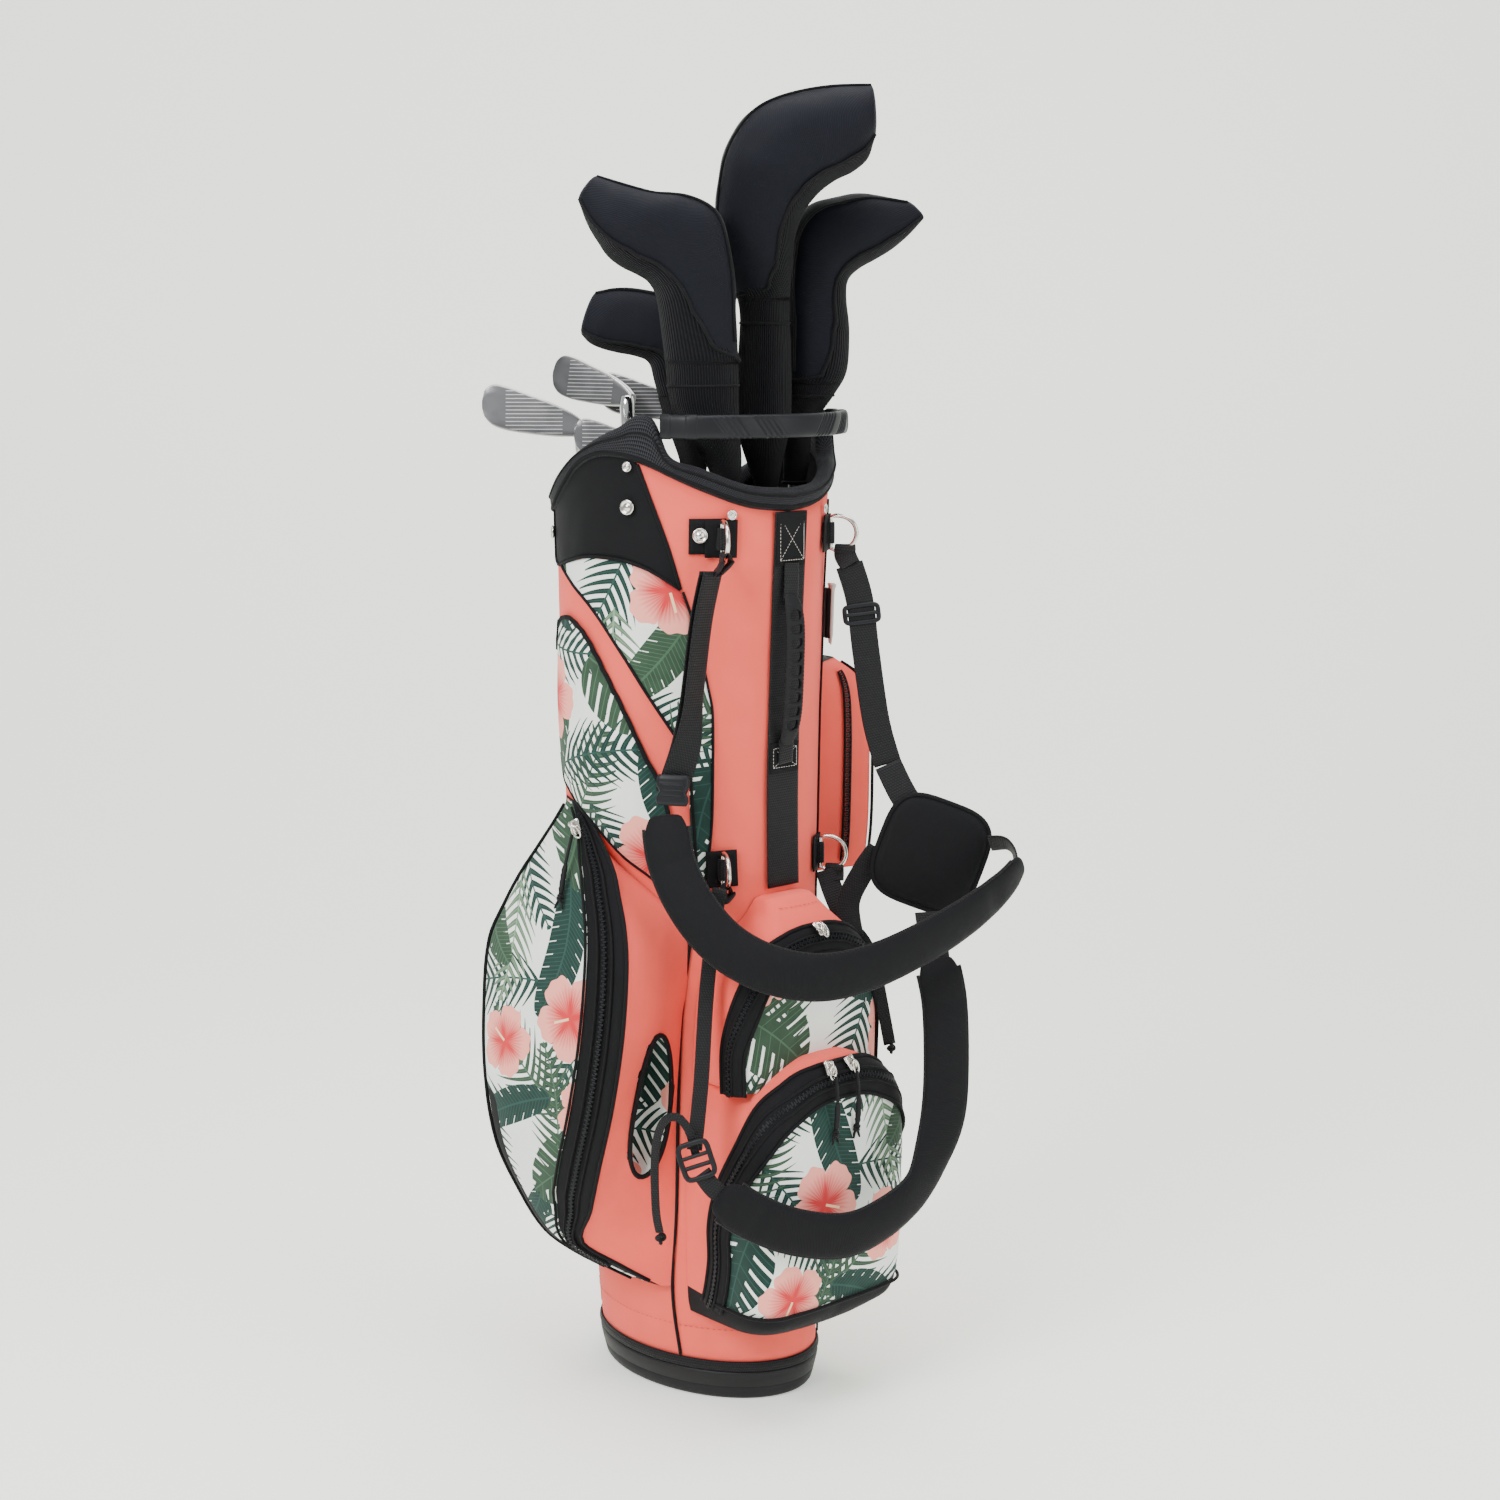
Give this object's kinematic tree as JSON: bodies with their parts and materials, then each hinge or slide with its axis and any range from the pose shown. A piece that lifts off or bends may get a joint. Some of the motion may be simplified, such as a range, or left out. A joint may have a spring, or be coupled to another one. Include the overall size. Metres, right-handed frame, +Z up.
{
  "type": "golf club set",
  "caption": "Golf club set: an oval carry bag with shaped zip pockets, hand grips and a padded double harness, holding hooded woods and bare irons.",
  "frame": {"origin": "middle of the boot's underside, on the ground", "axes": "+Z up the bag; -Y the side with the carry handle and the front pockets; -X the side with the large garment pocket"},
  "size_m": [0.3444, 0.4236, 1.1445],
  "materials": {
    "coral_fabric": "coral coated canvas",
    "print_fabric": "palm-leaf and hibiscus print on off-white canvas",
    "black_fabric": "black spacer mesh and padded cloth",
    "neoprene": "blue-black neoprene with ribbed knit",
    "webbing": "black woven webbing",
    "pull_cord": "black braided cord with a moulded sleeve",
    "boot_plastic": "satin dark grey",
    "moulded_plastic": "satin black",
    "fibreglass": "pultruded rod",
    "grip_rubber": "ribbed black",
    "nickel": "polished nickel plate",
    "iron_steel": "satin chrome with scored lines",
    "steel_shaft": "polished stepped steel",
    "wood_head": "gloss black crown",
    "graphite_shaft": "gloss dark graphite"
  },
  "bodies": {
    "bag": {"base_boot": "boot_plastic", "bag_body": "coral_fabric", "top_collar": "black_fabric", "divider_grid": "black_fabric", "stay_rod_left": "fibreglass", "stay_rod_right": "fibreglass", "lift_handle": "moulded_plastic", "spine_webbing": "webbing", "apparel_pocket_left": "print_fabric", "slip_pocket_left": "print_fabric", "valuables_pocket_right": "print_fabric", "front_pocket": "print_fabric", "ball_pocket": "print_fabric", "strap_upper_left": "webbing", "shoulder_pad_left": "black_fabric", "shoulder_pad_right": "black_fabric", "strap_upper_right": "webbing", "hip_pad": "black_fabric", "ladder_lock_left": "moulded_plastic"},
    "side_handle": {"side_handle_grip": "grip_rubber"},
    "ring_upper_left_body": {"ring_upper_left": "nickel"},
    "ring_upper_right_body": {"ring_upper_right": "nickel"},
    "ring_lower_left_body": {"ring_lower_left": "nickel"},
    "ring_lower_right_body": {"ring_lower_right": "nickel"},
    "ball_zip_left": {"ball_slider_left": "nickel", "ball_pull_left": "pull_cord"},
    "ball_zip_right": {"ball_slider_right": "nickel", "ball_pull_right": "pull_cord"},
    "front_zip": {"front_slider": "nickel"},
    "apparel_zip": {"apparel_slider_left": "nickel", "apparel_pull_left": "pull_cord"},
    "strap_adjuster": {"strap_adjuster_right": "moulded_plastic"},
    "driver": {"driver_head": "wood_head", "driver_shaft": "graphite_shaft", "driver_grip": "grip_rubber"},
    "driver_cover_body": {"driver_cover": "neoprene"},
    "fairway_left": {"fairway_left_head": "wood_head", "fairway_left_shaft": "graphite_shaft", "fairway_left_grip": "grip_rubber"},
    "fairway_left_cover_body": {"fairway_left_cover": "neoprene"},
    "fairway_right": {"fairway_right_head": "wood_head", "fairway_right_shaft": "graphite_shaft", "fairway_right_grip": "grip_rubber"},
    "fairway_right_cover_body": {"fairway_right_cover": "neoprene"},
    "hybrid": {"hybrid_head": "wood_head", "hybrid_shaft": "graphite_shaft", "hybrid_grip": "grip_rubber"},
    "hybrid_cover_body": {"hybrid_cover": "neoprene"},
    "iron_1": {"iron_1_head": "iron_steel", "iron_1_shaft": "steel_shaft", "iron_1_grip": "grip_rubber"},
    "iron_2": {"iron_2_head": "iron_steel", "iron_2_shaft": "steel_shaft", "iron_2_grip": "grip_rubber"},
    "iron_3": {"iron_3_head": "iron_steel", "iron_3_shaft": "steel_shaft", "iron_3_grip": "grip_rubber"},
    "iron_4": {"iron_4_head": "iron_steel", "iron_4_shaft": "steel_shaft", "iron_4_grip": "grip_rubber"}
  },
  "joints": [
    {"name": "driver_slide", "type": "slide", "parent": "bag", "child": "driver", "axis": [0.0073, -0.0061, 1], "range_m": [0, 0.88]},
    {"name": "fairway_left_slide", "type": "slide", "parent": "bag", "child": "fairway_left", "axis": [-0.0366, 0.011, 0.9993], "range_m": [0, 0.88]},
    {"name": "fairway_right_slide", "type": "slide", "parent": "bag", "child": "fairway_right", "axis": [0.0682, -0.0402, 0.9969], "range_m": [0, 0.88]},
    {"name": "hybrid_slide", "type": "slide", "parent": "bag", "child": "hybrid", "axis": [-0.0183, -0.0073, 0.9998], "range_m": [0, 0.88]},
    {"name": "iron_1_slide", "type": "slide", "parent": "bag", "child": "iron_1", "axis": [-0.0658, 0.0487, 0.9966], "range_m": [0, 0.88]},
    {"name": "iron_2_slide", "type": "slide", "parent": "bag", "child": "iron_2", "axis": [-0.0183, 0.022, 0.9996], "range_m": [0, 0.88]},
    {"name": "iron_3_slide", "type": "slide", "parent": "bag", "child": "iron_3", "axis": [0.0122, 0.0354, 0.9993], "range_m": [0, 0.88]},
    {"name": "iron_4_slide", "type": "slide", "parent": "bag", "child": "iron_4", "axis": [-0.0122, 0.0012, 0.9999], "range_m": [0, 0.88]},
    {"name": "driver_cover_slide", "type": "slide", "parent": "driver", "child": "driver_cover_body", "axis": [0.0073, -0.0061, 1], "range_m": [0, 0.4], "deforming": ["driver_cover"]},
    {"name": "fairway_left_cover_slide", "type": "slide", "parent": "fairway_left", "child": "fairway_left_cover_body", "axis": [-0.0366, 0.011, 0.9993], "range_m": [0, 0.4], "deforming": ["fairway_left_cover"]},
    {"name": "fairway_right_cover_slide", "type": "slide", "parent": "fairway_right", "child": "fairway_right_cover_body", "axis": [0.0682, -0.0402, 0.9969], "range_m": [0, 0.4], "deforming": ["fairway_right_cover"]},
    {"name": "hybrid_cover_slide", "type": "slide", "parent": "hybrid", "child": "hybrid_cover_body", "axis": [-0.0183, -0.0073, 0.9998], "range_m": [0, 0.4], "deforming": ["hybrid_cover"]},
    {"name": "ring_upper_left_swing", "type": "hinge", "parent": "bag", "child": "ring_upper_left_body", "pos_m": [-0.06459, -0.08919, 0.767], "axis": [0, 0, 1], "range_deg": [-50, 50]},
    {"name": "ring_upper_right_swing", "type": "hinge", "parent": "bag", "child": "ring_upper_right_body", "pos_m": [0.06828, -0.08679, 0.765], "axis": [0, 0, 1], "range_deg": [-50, 50]},
    {"name": "ring_lower_left_swing", "type": "hinge", "parent": "bag", "child": "ring_lower_left_body", "pos_m": [-0.05874, -0.08311, 0.482], "axis": [0, 0, 1], "range_deg": [-50, 50]},
    {"name": "ring_lower_right_swing", "type": "hinge", "parent": "bag", "child": "ring_lower_right_body", "pos_m": [0.06392, -0.07999, 0.48], "axis": [0, 0, 1], "range_deg": [-50, 50]},
    {"name": "side_handle_pull", "type": "slide", "parent": "bag", "child": "side_handle", "axis": [0, -1, 0], "range_m": [0, 0.015]},
    {"name": "ball_zip_left_travel", "type": "hinge", "parent": "bag", "child": "ball_zip_left", "pos_m": [0, -0.171, 0.232], "axis": [0, 1, 0], "range_deg": [-60, 0]},
    {"name": "ball_zip_right_travel", "type": "hinge", "parent": "bag", "child": "ball_zip_right", "pos_m": [0, -0.171, 0.232], "axis": [0, 1, 0], "range_deg": [0, 60]},
    {"name": "front_zip_travel", "type": "hinge", "parent": "bag", "child": "front_zip", "pos_m": [0, -0.143, 0.33], "axis": [0, 1, 0], "range_deg": [-20, 20]},
    {"name": "apparel_zip_travel", "type": "slide", "parent": "bag", "child": "apparel_zip", "axis": [-0.4201, -0.6402, -0.6432], "range_m": [0, 0.025]},
    {"name": "strap_adjuster_travel", "type": "slide", "parent": "bag", "child": "strap_adjuster", "axis": [0.05, -0.16, -0.9859], "range_m": [-0.01, 0.02]}
  ]
}
